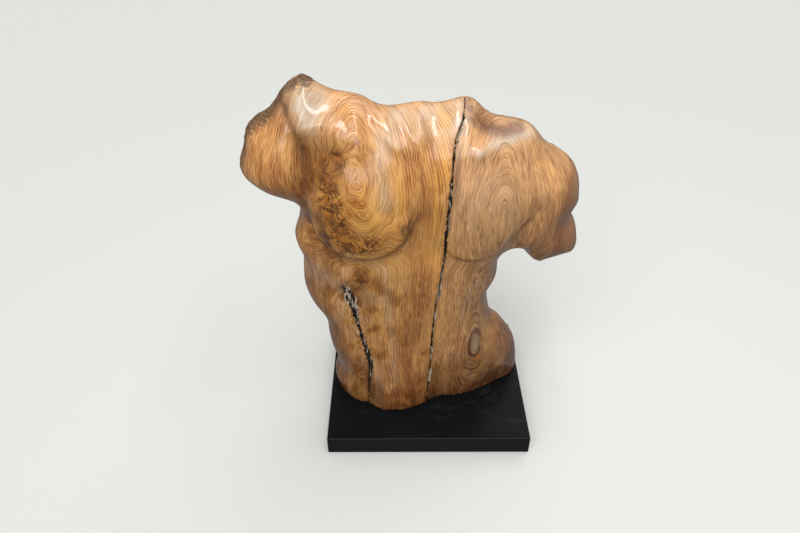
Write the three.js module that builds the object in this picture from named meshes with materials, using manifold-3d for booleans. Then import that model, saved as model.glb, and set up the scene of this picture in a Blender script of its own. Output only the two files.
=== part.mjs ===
// Torso sculpture: a headless male torso carved from one block of reclaimed root wood, on a black plinth.
// Millimetres. +X is the viewer's right, +Y runs away from the viewer, +Z is up.
// The origin is the centre of the plinth's underside.

import * as THREE from "three";
import Module from "manifold-3d";
import { mergeVertices } from "three/addons/utils/BufferGeometryUtils.js";

// Driving dimensions of the plinth
const PLINTH_WIDTH = 360;
const PLINTH_DEPTH = 300;
const PLINTH_THICKNESS = 38;
const PLINTH_CHAMFER = 1.5;

// Driving dimensions of the torso
const TORSO_HEIGHT = 599; // from the plinth's top to the highest shoulder
const TORSO_OFFSET_X = 0; // of the torso's own axis from the plinth's centre
const TORSO_OFFSET_Y = 20; // of the torso's rim plane behind the plinth's centre
const CRACK_WIDTH = 5;
const CRACK_DEPTH = 11;
const CRACK_CLEARANCE = 8; // how far the crack's wedge stands clear of the wood it is cut from

// Everything carved is in thousandths of the torso's height, measured from its seat on the plinth.
const SHARE = TORSO_HEIGHT / 1000;
const FACET = 23; // side of the facets that the carving is worked to
const OUTLINE_STEPS = 260;
const BELOW_SEAT = 110; // how far the form runs on below the seat before it is cut flat
const SPACE_LOW = [-560, -260, -BELOW_SEAT - 60]; // corners of the space the carved form lies in
const SPACE_HIGH = [460, 220, 1050];

// The outline seen from the front, clockwise from the high shoulder
const TOP_EDGE = [
  [-312, 1000], [-287, 977], [-253, 959], [-208, 950], [-172, 940], [-143, 921], [-112, 915], [-70, 923],
  [-30, 929], [0, 923], [28, 928], [70, 940], [93, 938], [115, 917], [145, 894], [187, 886], [225, 878],
  [251, 863],
];
const RIGHT_ARM = [
  [286, 821], [320, 802], [356, 775], [379, 736], [388, 695], [389, 653], [371, 630], [393, 593],
  [405, 545], [408, 515], [398, 503], [357, 496], [319, 475], [300, 461], [269, 490], [234, 522],
];
const RIGHT_FLANK = [
  [198, 484], [194, 405], [174, 354], [178, 302], [184, 272], [194, 240], [223, 214], [247, 180],
  [268, 145], [284, 103], [293, 53], [297, 0], [290, -BELOW_SEAT], [150, -BELOW_SEAT - 10],
];
const LEFT_FLANK = [
  [-120, -BELOW_SEAT - 10], [-255, -BELOW_SEAT], [-272, -20], [-286, 22], [-289, 55], [-281, 84],
  [-277, 119], [-293, 165], [-302, 215], [-307, 274], [-345, 334], [-361, 390], [-361, 445],
  [-358, 486], [-373, 525], [-376, 560], [-359, 605],
];
const LEFT_ARM = [
  [-356, 655], [-395, 680], [-429, 692], [-458, 714], [-482, 736], [-495, 757], [-495, 780],
  [-488, 803], [-476, 832], [-470, 866], [-441, 892], [-405, 916], [-385, 944], [-367, 969],
  [-345, 986], [-326, 996],
];
const OUTLINE = [...TOP_EDGE, ...RIGHT_ARM, ...RIGHT_FLANK, ...LEFT_FLANK, ...LEFT_ARM];

// Depths that change with height, as pairs of height and depth
const FRONT_DEPTH = [[-110, 130], [0, 130], [180, 138], [370, 134], [560, 142], [760, 156], [1000, 150]];
const BACK_DEPTH = [[-110, 118], [0, 118], [330, 92], [700, 118], [1000, 105]];
const EDGE_ROUNDING = [[-110, 150], [0, 150], [400, 165], [700, 178], [1000, 225]];
const SEAT_TWIST = 34; // how far the seat's right side lies behind its left

// The two drying cracks, seen from the front
const LONG_CRACK = [
  [84, 990], [75, 940], [66, 916], [52, 888], [43, 857], [39, 793], [34, 710], [30, 629], [31, 560],
  [23, 465], [15, 391], [9, 300], [6, 190], [2, 95], [1, 40], [0, -20],
];
const FLANK_CRACK = [
  [-242, 450], [-219, 388], [-207, 328], [-197, 277], [-184, 225], [-171, 170], [-178, 110],
  [-183, 30], [-184, -20],
];

const clamp = (t, low = 0, high = 1) => Math.min(Math.max(t, low), high);
const mix = (a, b, t) => a + (b - a) * t;
const smooth = (low, high, t) => {
  const s = clamp((t - low) / (high - low));
  return s * s * (3 - 2 * s);
};

// A value that runs smoothly through pairs of height and value.
function profile(pairs, z) {
  const next = pairs.findIndex(([height]) => height > z);
  if (next === 0) return pairs[0][1];
  if (next < 0) return pairs[pairs.length - 1][1];
  const [[z0, v0], [z1, v1]] = [pairs[next - 1], pairs[next]];
  return mix(v0, v1, smooth(z0, z1, z));
}

// A rounded hill: 1 at its centre, fading to 0 over its radii, turned by lean degrees.
function hill(x, z, [cx, cz], [rx, rz], lean = 0) {
  const turn = THREE.MathUtils.degToRad(lean);
  const dx = x - cx;
  const dz = z - cz;
  const u = (dx * Math.cos(turn) + dz * Math.sin(turn)) / rx;
  const v = (dz * Math.cos(turn) - dx * Math.sin(turn)) / rz;
  return Math.exp(-(u * u + v * v));
}

// A raised plate, such as a chest muscle: soft above, with a fuller rounded edge underneath.
function plate(x, z, [cx, cz], [rx, rz], edge) {
  const u = (x - cx) / rx;
  const v = (z - cz) / rz;
  const r = Math.hypot(u, v);
  const under = smooth(-0.15, 0.75, -v / Math.max(r, 1e-6));
  const width = mix(1, edge, under);
  const s = clamp((r - 1 + width) / width);
  return (1 - s * s) ** mix(2, 0.55, under);
}

// A valley or ridge along a path: 1 on the path, fading to 0 over its width.
function crease(x, z, path, width) {
  let nearest = Infinity;
  for (let i = 1; i < path.length; i++) {
    const [ax, az] = path[i - 1];
    const [bx, bz] = path[i];
    const length2 = (bx - ax) ** 2 + (bz - az) ** 2;
    const t = clamp(((x - ax) * (bx - ax) + (z - az) * (bz - az)) / length2);
    nearest = Math.min(nearest, Math.hypot(x - mix(ax, bx, t), z - mix(az, bz, t)));
  }
  return Math.exp(-((nearest / width) ** 2));
}

// The carving of the front: how far it stands out from the plain rounded form.
function frontRelief(x, z) {
  const chest =
    30 * plate(x, z, [-184, 706], [148, 148], 0.42) +
    20 * plate(x, z, [112, 690], [130, 146], 0.38) -
    13 * crease(x, z, [[-10, 850], [-16, 720], [-8, 620], [-4, 560]], 42);
  const leftShoulder =
    17 * crease(x, z, [[-345, 905], [-290, 912], [-245, 904], [-218, 880]], 32) -
    17 * hill(x, z, [-278, 800], [44, 80], -10) -
    22 * crease(x, z, [[-372, 945], [-345, 895], [-318, 840], [-318, 740], [-335, 690]], 24) +
    16 * hill(x, z, [-425, 785], [50, 85], 0);
  const rightShoulder =
    14 * crease(x, z, [[105, 850], [160, 858], [215, 862], [250, 850]], 22) -
    17 * crease(x, z, [[125, 898], [168, 882], [212, 886]], 20) +
    12 * hill(x, z, [300, 700], [55, 90], -15) -
    20 * crease(x, z, [[205, 590], [240, 645], [262, 700]], 24) +
    8 * hill(x, z, [330, 560], [45, 60], 0);
  const folds =
    10 * crease(x, z, [[-206, 936], [-190, 912], [-178, 870]], 17) +
    9 * crease(x, z, [[-157, 918], [-133, 898], [-93, 862]], 15) +
    9 * crease(x, z, [[-112, 912], [-90, 896], [-60, 858]], 14) +
    5 * crease(x, z, [[-45, 914], [-36, 884]], 16);
  const belly =
    44 * hill(x, z, [-98, 20], [112, 150], 0) -
    12 * crease(x, z, [[28, -100], [30, 40], [40, 120]], 32) -
    40 * hill(x, z, [245, -30], [80, 120], 10) +
    13 * hill(x, z, [128, 236], [48, 85], 0) +
    16 * hill(x, z, [215, 150], [70, 90], 20) -
    15 * crease(x, z, [[-236, 425], [-205, 325], [-178, 190], [-184, -20]], 28) +
    8 * hill(x, z, [-285, 330], [34, 100], -10) +
    10 * hill(x, z, [-245, 190], [34, 70], 0) -
    10 * hill(x, z, [-300, 105], [40, 24], 10) -
    8 * crease(x, z, [[-340, 610], [-310, 540], [-190, 520]], 34);
  return chest + leftShoulder + rightShoulder + folds + belly;
}

// The carving of the back, plainer than the front: shoulder blades, a spine furrow and the small of the back.
function backRelief(x, z) {
  return (
    16 * plate(x, z, [-175, 690], [135, 170], 0.7) +
    14 * plate(x, z, [120, 670], [125, 150], 0.7) -
    18 * crease(x, z, [[-40, 960], [-30, 600], [-5, 320], [10, 60]], 38) +
    18 * hill(x, z, [-120, 60], [110, 150], 0) +
    18 * hill(x, z, [140, 70], [100, 140], 0)
  );
}

// Straight stretches of the smoothed outline, each with its start, direction and length.
function outlineStretches() {
  const knots = OUTLINE.map(([x, z]) => new THREE.Vector3(x, 0, z));
  const points = new THREE.CatmullRomCurve3(knots, true, "centripetal").getSpacedPoints(OUTLINE_STEPS);
  return points.slice(1).map((end, i) => {
    const start = points[i];
    const length = start.distanceTo(end);
    return { start, end, length, tx: (end.x - start.x) / length, tz: (end.z - start.z) / length };
  });
}

const STRETCHES = outlineStretches();

function insideOutline(x, z) {
  let inside = false;
  for (const { start, end } of STRETCHES) {
    const straddles = start.z > z !== end.z > z;
    if (straddles && x < mix(start.x, end.x, (z - start.z) / (end.z - start.z))) inside = !inside;
  }
  return inside;
}

// How far a point lies inside the outline: the true distance near the edge, evened out in the middle.
// It is the integral of 1 / distance^3 along the outline, turned back into a distance.
function inset(x, z) {
  let sum = 0;
  for (const { start, length, tx, tz } of STRETCHES) {
    const dx = x - start.x;
    const dz = z - start.z;
    const behind = -(dx * tx + dz * tz);
    const ahead = behind + length;
    const across2 = Math.max((dx * tz - dz * tx) ** 2, 1e-3);
    sum += (ahead / Math.sqrt(ahead ** 2 + across2) - behind / Math.sqrt(behind ** 2 + across2)) / across2;
  }
  const distance = Math.sqrt(2 / sum);
  return insideOutline(x, z) ? distance : -distance;
}

const rimTwist = (x, z) => SEAT_TWIST * clamp(x / 290, -1, 1) * (1 - smooth(0, 520, z));
const frontDepth = (x, z) => profile(FRONT_DEPTH, z) + frontRelief(x, z);
const backDepth = (x, z) => profile(BACK_DEPTH, z) + backRelief(x, z);

// How full the form is at a place in the outline: 1 in the middle, 0 at the rim, negative outside.
function fullness(x, z) {
  const shortfall = 1 - Math.min(inset(x, z) / profile(EDGE_ROUNDING, z), 1);
  return 1 - shortfall ** 2;
}

// The carved form as a field that is negative inside the wood and zero on its surface.
function wood(x, y, z) {
  const rise = y - rimTwist(x, z);
  const depth = rise < 0 ? frontDepth(x, z) : backDepth(x, z);
  return (rise / depth) ** 2 - fullness(x, z);
}

// The place of the front surface at a point in the outline.
function frontSurface(x, z) {
  return rimTwist(x, z) - frontDepth(x, z) * Math.sqrt(Math.max(fullness(x, z), 0));
}

// A net of facets over a field's zero surface: one vertex for each grid cell that the surface crosses.
function surfaceNet(field, low, high, cell) {
  const count = high.map((h, axis) => Math.ceil((h - low[axis]) / cell) + 1);
  const at = (i, j, k) => (k * count[1] + j) * count[0] + i;
  const place = (axis, n) => low[axis] + n * cell;
  const values = new Float64Array(count[0] * count[1] * count[2]);
  for (let k = 0; k < count[2]; k++)
    for (let j = 0; j < count[1]; j++)
      for (let i = 0; i < count[0]; i++)
        values[at(i, j, k)] = field(place(0, i), place(1, j), place(2, k));

  const vertices = [];
  const vertexOf = new Map();
  const corners = [0, 1, 2, 3, 4, 5, 6, 7].map((n) => [n & 1, (n >> 1) & 1, n >> 2]);
  const edges = corners.flatMap((a, m) =>
    corners.map((b, n) => [m, n]).filter(([, n]) => n > m && [1, 2, 4].includes(m ^ n)));
  for (let k = 0; k + 1 < count[2]; k++)
    for (let j = 0; j + 1 < count[1]; j++)
      for (let i = 0; i + 1 < count[0]; i++) {
        const corner = corners.map(([di, dj, dk]) => values[at(i + di, j + dj, k + dk)]);
        const crossed = edges.filter(([m, n]) => corner[m] < 0 !== corner[n] < 0);
        if (!crossed.length) continue;
        const mean = [0, 0, 0];
        for (const [m, n] of crossed) {
          const t = corner[m] / (corner[m] - corner[n]);
          for (let axis = 0; axis < 3; axis++)
            mean[axis] += mix(corners[m][axis], corners[n][axis], t) / crossed.length;
        }
        vertexOf.set(at(i, j, k), vertices.length);
        vertices.push([place(0, i + mean[0]), place(1, j + mean[1]), place(2, k + mean[2])]);
      }

  const quads = [];
  const step = [at(1, 0, 0), at(0, 1, 0), at(0, 0, 1)];
  for (let k = 1; k + 1 < count[2]; k++)
    for (let j = 1; j + 1 < count[1]; j++)
      for (let i = 1; i + 1 < count[0]; i++) {
        const here = at(i, j, k);
        for (let axis = 0; axis < 3; axis++) {
          const starts = values[here] < 0;
          if (starts === values[here + step[axis]] < 0) continue;
          const [u, v] = [step[(axis + 1) % 3], step[(axis + 2) % 3]];
          const ring = [here, here - u, here - u - v, here - v].map((n) => vertexOf.get(n));
          quads.push(starts ? ring : ring.reverse());
        }
      }
  return { vertices, quads };
}

// Evens out a net's vertices along the surface and sets each one exactly on it.
function settle({ vertices, quads }, field, rounds) {
  const neighbours = vertices.map(() => new Set());
  for (const quad of quads)
    quad.forEach((v, n) => {
      neighbours[v].add(quad[(n + 1) % 4]);
      neighbours[v].add(quad[(n + 3) % 4]);
    });
  const probe = 0.5;
  const ontoSurface = ([x, y, z]) => {
    const value = field(x, y, z);
    const gradient = [
      (field(x + probe, y, z) - value) / probe,
      (field(x, y + probe, z) - value) / probe,
      (field(x, y, z + probe) - value) / probe,
    ];
    const steep2 = gradient.reduce((sum, g) => sum + g * g, 0);
    const move = clamp(value / Math.sqrt(steep2), -FACET / 2, FACET / 2) / Math.sqrt(steep2);
    return [x - gradient[0] * move, y - gradient[1] * move, z - gradient[2] * move];
  };
  let points = vertices;
  for (let round = 0; round < rounds; round++) {
    points = points.map((point, n) => {
      const ring = [...neighbours[n]];
      const mean = [0, 1, 2].map((axis) => ring.reduce((sum, m) => sum + points[m][axis], 0) / ring.length);
      return ontoSurface(point.map((p, axis) => mix(p, mean[axis], 0.5)));
    });
  }
  return { vertices: points.map(ontoSurface), quads };
}

// Triangles for a net of quads, each cut along its shorter diagonal.
function netGeometry({ vertices, quads }) {
  const gap = (a, b) => Math.hypot(...vertices[a].map((p, axis) => p - vertices[b][axis]));
  const index = quads.flatMap(([a, b, c, d]) =>
    gap(a, c) < gap(b, d) ? [a, b, c, a, c, d] : [b, c, d, b, d, a]);
  const geometry = new THREE.BufferGeometry();
  geometry.setAttribute("position", new THREE.Float32BufferAttribute(vertices.flat(), 3));
  geometry.setIndex(index);
  return geometry;
}

// A closed wedge through a list of triangular sections, to cut a crack with.
function wedgeGeometry(sections) {
  const index = [0, 2, 1];
  for (let n = 1; n < sections.length; n++)
    for (let side = 0; side < 3; side++) {
      const a = (n - 1) * 3 + side;
      const b = (n - 1) * 3 + ((side + 1) % 3);
      index.push(a, b, a + 3, b, b + 3, a + 3);
    }
  const last = (sections.length - 1) * 3;
  index.push(last, last + 1, last + 2);
  const geometry = new THREE.BufferGeometry();
  geometry.setAttribute("position", new THREE.Float32BufferAttribute(sections.flat(2), 3));
  geometry.setIndex(index);
  return geometry;
}

// The wedge for a crack: open in front of the wood, with its edge a set depth behind the surface.
function crackWedge(path) {
  const knots = path.map(([x, z]) => new THREE.Vector3(x, 0, z));
  const points = new THREE.CatmullRomCurve3(knots, false, "centripetal").getSpacedPoints(path.length * 2);
  const proud = CRACK_CLEARANCE / SHARE;
  const depth = CRACK_DEPTH / SHARE;
  const half = (CRACK_WIDTH / 2 / SHARE) * (1 + proud / depth);
  return wedgeGeometry(points.map(({ x, z }) => {
    const y = frontSurface(x, z);
    return [[x - half, y - proud, z], [x, y + depth, z], [x + half, y - proud, z]];
  }));
}

const wasm = await Module();
wasm.setup();

function toSolid(geometry) {
  const bare = geometry.clone();
  bare.deleteAttribute("normal");
  bare.deleteAttribute("uv");
  const merged = mergeVertices(bare, 1e-4);
  return new wasm.Manifold(new wasm.Mesh({
    numProp: 3,
    vertProperties: merged.attributes.position.array,
    triVerts: new Uint32Array(merged.index.array),
  }));
}

function toGeometry(solid) {
  const { vertProperties, triVerts } = solid.getMesh();
  const geometry = new THREE.BufferGeometry();
  geometry.setAttribute("position", new THREE.Float32BufferAttribute(vertProperties, 3));
  geometry.setIndex(new THREE.Uint32BufferAttribute(triVerts, 1));
  geometry.computeVertexNormals();
  return geometry;
}

// The torso: the carved form, cut flat where it meets the plinth, with its two cracks.
function torso() {
  const net = settle(surfaceNet(wood, SPACE_LOW, SPACE_HIGH, FACET), wood, 3);
  const carved = toSolid(netGeometry(net));
  const reach = SPACE_HIGH[2] - SPACE_LOW[2];
  const belowSeat = new THREE.BoxGeometry(reach, reach, reach).translate(0, 0, -reach / 2);
  let solid = carved.subtract(toSolid(belowSeat));
  for (const path of [LONG_CRACK, FLANK_CRACK]) solid = solid.subtract(toSolid(crackWedge(path)));
  const material = new THREE.MeshStandardMaterial({ color: 0xb07a42, roughness: 0.35, metalness: 0 });
  const mesh = new THREE.Mesh(toGeometry(solid).scale(SHARE, SHARE, SHARE), material);
  mesh.name = "torso";
  mesh.position.set(TORSO_OFFSET_X, TORSO_OFFSET_Y, PLINTH_THICKNESS);
  return mesh;
}

// The plinth: a black board with its edges just broken.
function plinth() {
  const width = PLINTH_WIDTH - 2 * PLINTH_CHAMFER;
  const depth = PLINTH_DEPTH - 2 * PLINTH_CHAMFER;
  const shape = new THREE.Shape([
    new THREE.Vector2(-width / 2, -depth / 2),
    new THREE.Vector2(width / 2, -depth / 2),
    new THREE.Vector2(width / 2, depth / 2),
    new THREE.Vector2(-width / 2, depth / 2),
  ]);
  const geometry = new THREE.ExtrudeGeometry(shape, {
    depth: PLINTH_THICKNESS - 2 * PLINTH_CHAMFER,
    bevelThickness: PLINTH_CHAMFER,
    bevelSize: PLINTH_CHAMFER,
    bevelSegments: 1,
  });
  const material = new THREE.MeshStandardMaterial({ color: 0x121315, roughness: 0.4, metalness: 0 });
  const mesh = new THREE.Mesh(geometry, material);
  mesh.name = "plinth";
  mesh.position.z = PLINTH_CHAMFER;
  return mesh;
}

const sculpture = new THREE.Group();
sculpture.add(plinth(), torso());

export default sculpture;
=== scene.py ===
"""Torso sculpture: the carved root-wood torso and its black plinth, dressed for rendering."""

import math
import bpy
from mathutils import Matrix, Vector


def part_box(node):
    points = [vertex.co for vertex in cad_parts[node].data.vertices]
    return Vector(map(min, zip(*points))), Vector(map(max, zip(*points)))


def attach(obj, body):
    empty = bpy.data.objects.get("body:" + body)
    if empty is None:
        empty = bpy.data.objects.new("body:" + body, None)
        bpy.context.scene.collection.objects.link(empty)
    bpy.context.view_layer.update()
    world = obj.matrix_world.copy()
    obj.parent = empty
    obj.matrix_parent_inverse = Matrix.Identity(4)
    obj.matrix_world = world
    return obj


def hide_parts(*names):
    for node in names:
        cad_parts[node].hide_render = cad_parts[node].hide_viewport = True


bl_info = {
    "name": "Torso Sculpture",
    "version": (1, 0, 0),
    "blender": (4, 5, 0),
    "location": "View3D > Sidebar > Torso",
    "description": "Carves, colours and lights a root-wood torso on a black plinth",
    "category": "Object",
}

import bmesh
import bpy
import numpy as np
from bpy.props import FloatProperty, FloatVectorProperty, PointerProperty
from mathutils import Matrix, Vector, noise

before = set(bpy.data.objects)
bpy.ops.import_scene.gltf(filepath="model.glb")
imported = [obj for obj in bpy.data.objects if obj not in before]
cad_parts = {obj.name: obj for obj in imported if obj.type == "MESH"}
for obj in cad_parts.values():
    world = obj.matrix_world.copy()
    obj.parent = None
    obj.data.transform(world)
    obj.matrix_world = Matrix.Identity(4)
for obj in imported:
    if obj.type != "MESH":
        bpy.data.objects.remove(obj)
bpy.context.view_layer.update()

PLINTH_LOW, PLINTH_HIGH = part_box("plinth")
TORSO_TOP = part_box("torso")[1].z
SEAT = PLINTH_HIGH.z
# Places on the torso are in thousandths of its height: x from its axis, z above its seat.
THOUSANDTH = (TORSO_TOP - SEAT) / 1000

# Paths that the carving and the colours share, as places on the front
LONG_CRACK = [
    (84, 990), (75, 940), (66, 916), (52, 888), (43, 857), (39, 793), (34, 710), (30, 629),
    (31, 560), (23, 465), (15, 391), (9, 300), (6, 190), (2, 95), (1, 40), (0, -20),
]
FLANK_CRACK = [
    (-242, 450), (-219, 388), (-207, 328), (-197, 277), (-184, 225), (-171, 170), (-178, 110),
    (-183, 30), (-184, -20),
]
SIDE_CRACK = [(-222, 297), (-212, 275), (-196, 250)]
LEFT_CHEST_EDGE = [
    (-323, 683), (-320, 623), (-299, 592), (-263, 568), (-224, 556), (-174, 552), (-124, 565),
    (-86, 596), (-58, 637), (-36, 702),
]
RIGHT_CHEST_EDGE = [
    (38, 590), (52, 566), (82, 548), (130, 541), (165, 553), (190, 585), (215, 625), (245, 662),
    (262, 705),
]
ARM_CREASE = [(-363, 940), (-338, 893), (-316, 850), (-311, 795), (-318, 745), (-330, 690)]
CHEST_FOLDS = [
    [(-216, 952), (-206, 936), (-190, 912), (-178, 870), (-172, 820)],
    [(-180, 936), (-157, 918), (-133, 898), (-93, 862), (-68, 830)],
    [(-136, 934), (-112, 912), (-90, 896), (-60, 858), (-44, 826)],
    [(-52, 930), (-45, 914), (-36, 884), (-30, 850)],
]
RIGHT_VALLEY = [(86, 930), (101, 913), (133, 890), (169, 879), (215, 884)]
RIGHT_RIDGE = [(104, 850), (129, 860), (155, 863), (206, 870), (245, 866)]
SHOULDER_SHELF = [(-316, 906), (-300, 918), (-262, 920), (-230, 913), (-208, 894)]
ARM_END_BAND = [(330, 440), (324, 528), (318, 600), (315, 671), (329, 729), (347, 779), (366, 830)]
BELLY_ARCH = [(94, 284), (97, 347), (107, 437), (129, 458), (153, 422), (161, 342), (145, 320)]
BELLY_BOW = [(112, 200), (125, 110), (153, 50), (176, 70), (182, 145)]
LEFT_CHEST_SPOT = (-73, 661)
SMALL_KNOT = (-22, 213)
KNOT_FACE = (135, 226)
LEFT_RIM = [
    (-497, 770), (-478, 832), (-472, 866), (-443, 893), (-406, 917), (-386, 944), (-368, 970),
    (-345, 987), (-322, 998), (-306, 996),
]
RIGHT_RIM = [
    (70, 942), (96, 938), (116, 917), (146, 895), (188, 886), (226, 878), (251, 864), (286, 823),
    (320, 803), (356, 776), (379, 738), (388, 696),
]


# Sizes and colours that a user would change


class TorsoSettings(bpy.types.PropertyGroup):
    voxel: FloatProperty(
        name="Carving detail", description="Size of the faces that the torso is carved in",
        default=0.0035, min=0.002, max=0.01, unit="LENGTH")
    crack_depth: FloatProperty(
        name="Crack depth", description="Depth of the drying cracks",
        default=0.009, min=0.0, max=0.02, unit="LENGTH")
    tool_marks: FloatProperty(
        name="Tool marks", description="Height of the soft waves left by hand sanding",
        default=0.0007, min=0.0, max=0.003, unit="LENGTH")
    light_wood: FloatVectorProperty(
        name="Light wood", description="Colour of the early wood", subtype="COLOR",
        size=4, default=(0.72, 0.362, 0.100, 1), min=0, max=1)
    dark_wood: FloatVectorProperty(
        name="Dark wood", description="Colour of the late wood", subtype="COLOR",
        size=4, default=(0.31, 0.12, 0.030, 1), min=0, max=1)
    ring_width: FloatProperty(
        name="Ring width", description="Thickness of one growth ring",
        default=0.0042, min=0.002, max=0.02, unit="LENGTH")


class PlinthSettings(bpy.types.PropertyGroup):
    edge_radius: FloatProperty(
        name="Edge radius", description="Rounding of the plinth's edges",
        default=0.0016, min=0.0005, max=0.005, unit="LENGTH")
    lacquer: FloatVectorProperty(
        name="Lacquer", description="Colour of the satin lacquer", subtype="COLOR",
        size=4, default=(0.0042, 0.0046, 0.0056, 1), min=0, max=1)


class StageSettings(bpy.types.PropertyGroup):
    floor_colour: FloatVectorProperty(
        name="Floor", description="Colour of the floor", subtype="COLOR",
        size=4, default=(0.655, 0.665, 0.64, 1), min=0, max=1)
    sky: FloatProperty(
        name="Sky", description="Strength of the even light from above", default=0.77, min=0)
    sun: FloatProperty(
        name="High window", description="Strength of the soft light from the front", default=1.65, min=0)
    back_light: FloatProperty(
        name="Back window", description="Strength of the soft light from behind", default=0.5, min=0)
    softbox_power: FloatProperty(
        name="Softbox", description="Power of the overhead softbox", default=3.6, min=0, unit="POWER")


# Soft marks on the torso, and the mesh while it is carved


def smoothstep(low, high, value):
    t = np.clip((value - low) / (high - low), 0, 1)
    return t * t * (3 - 2 * t)


def cloud(points, size, octaves=2, seed=0):
    """Smooth noise, about -1 to 1, with features of the given size in metres."""
    shift = Vector((seed * 17.3, seed * -9.1, seed * 5.7))
    return np.array([noise.fractal(Vector(p) / size + shift, 1.0, 2.0, octaves) for p in points.tolist()])


def shares(points):
    """Places on the torso in thousandths of its height."""
    return points[:, 0] / THOUSANDTH, (points[:, 2] - SEAT) / THOUSANDTH


def along(x, z, path):
    """Distance from a path, the share of its length at the nearest place, and the side: 1 to its right."""
    nearest, share, side = np.full(len(x), np.inf), np.zeros(len(x)), np.zeros(len(x))
    steps = np.diff(np.array(path, float), axis=0)
    lengths = np.hypot(steps[:, 0], steps[:, 1])
    gone = 0.0
    for (ax, az), (dx, dz), length in zip(path, steps, lengths):
        t = np.clip(((x - ax) * dx + (z - az) * dz) / length**2, 0, 1)
        ox, oz = x - ax - t * dx, z - az - t * dz
        gap = np.hypot(ox, oz)
        closer = gap < nearest
        nearest = np.where(closer, gap, nearest)
        share = np.where(closer, (gone + t * length) / lengths.sum(), share)
        side = np.where(closer, np.sign(oz * dx - ox * dz), side)
        gone += length
    return nearest, share, side


def ridge(x, z, path, width):
    """1 on a path, fading to 0 over its width."""
    return np.exp(-((along(x, z, path)[0] / width) ** 2))


def spot(x, z, centre, radii, lean=0.0):
    """1 at a centre, fading to 0 over its radii, turned by lean degrees."""
    c, s = math.cos(math.radians(lean)), math.sin(math.radians(lean))
    dx, dz = x - centre[0], z - centre[1]
    return np.exp(-(((dx * c + dz * s) / radii[0]) ** 2) - ((dz * c - dx * s) / radii[1]) ** 2)


def ridges(x, z, marks):
    """The sum of soft lines, each given by its strength, path and width."""
    return sum(strength * ridge(x, z, path, width) for strength, path, width in marks)


def spots(x, z, marks):
    """The sum of soft spots, each given by its strength, centre, radii and, where it is turned, its lean."""
    return sum(strength * spot(x, z, *place) for strength, *place in marks)


class Carving:
    """The torso's mesh while it is worked on: its points, edges and normals as arrays."""

    # Shares of the way to the neighbours' mean, there and back
    SMOOTH_IN = 0.5
    SMOOTH_OUT = -0.53

    def __init__(self, mesh):
        self.mesh = mesh
        self.read()

    def read(self):
        count = len(self.mesh.vertices)
        self.points = np.empty(count * 3)
        self.mesh.vertices.foreach_get("co", self.points)
        self.points = self.points.reshape(-1, 3)
        self.edges = np.empty(len(self.mesh.edges) * 2, int)
        self.mesh.edges.foreach_get("vertices", self.edges)
        self.edges = self.edges.reshape(-1, 2)
        self.valence = np.bincount(self.edges.ravel(), minlength=count)[:, None]
        self.find_normals()

    def find_normals(self):
        self.normals = np.empty(len(self.points) * 3)
        self.mesh.vertex_normals.foreach_get("vector", self.normals)
        self.normals = self.normals.reshape(-1, 3)

    def write(self):
        self.mesh.vertices.foreach_set("co", self.points.ravel())
        self.mesh.update()
        self.find_normals()

    def relax(self, factor, weight=None):
        """Moves each point towards the mean of its neighbours."""
        total = np.zeros_like(self.points)
        a, b = self.edges[:, 0], self.edges[:, 1]
        for axis in range(3):
            total[:, axis] = (
                np.bincount(a, self.points[b, axis], len(total))
                + np.bincount(b, self.points[a, axis], len(total)))
        move = factor * (total / self.valence - self.points)
        if weight is not None:
            move *= weight[:, None]
        self.points += move

    def even_out(self, rounds, weight=None):
        """Smooths without shrinking."""
        for _ in range(rounds):
            self.relax(self.SMOOTH_IN, weight)
            self.relax(self.SMOOTH_OUT, weight)

    def widened(self, values, rounds):
        """Values carried out to the neighbouring points, once for each round."""
        a, b = self.edges[:, 0], self.edges[:, 1]
        for _ in range(rounds):
            wider = values.copy()
            np.maximum.at(wider, a, values[b])
            np.maximum.at(wider, b, values[a])
            values = wider
        return values

    def refine(self, chosen):
        """Splits the faces between the chosen points."""
        work = bmesh.new()
        work.from_mesh(self.mesh)
        edges = [e for e in work.edges if chosen[e.verts[0].index] and chosen[e.verts[1].index]]
        bmesh.ops.subdivide_edges(work, edges=edges, cuts=1, use_grid_fill=True)
        bmesh.ops.triangulate(work, faces=[f for f in work.faces if len(f.verts) > 4])
        work.to_mesh(self.mesh)
        work.free()
        self.read()

    def keep(self, name, values):
        """Stores one number for each point, for the material."""
        layer = self.mesh.attributes.new(name, "FLOAT", "POINT")
        layer.data.foreach_set("value", np.asarray(values, np.float32))


WELD = 1e-6  # points of a mesh closer than this, in metres, are one


def remeshed_torso(voxel):
    """A mesh of even faces over the torso's solid."""
    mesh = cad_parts["torso"].data.copy()
    joined = bmesh.new()
    joined.from_mesh(mesh)
    bmesh.ops.remove_doubles(joined, verts=joined.verts, dist=WELD)
    joined.to_mesh(mesh)
    joined.free()
    work = bpy.data.objects.new("torso_blank", mesh)
    bpy.context.scene.collection.objects.link(work)
    remesh = work.modifiers.new("Even faces", "REMESH")
    remesh.mode = "VOXEL"
    remesh.voxel_size = voxel
    shown = work.evaluated_get(bpy.context.evaluated_depsgraph_get())
    made = bpy.data.meshes.new_from_object(shown)
    bpy.data.objects.remove(work)
    made.name = "carved_torso"
    made.materials.clear()
    return made


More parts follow.
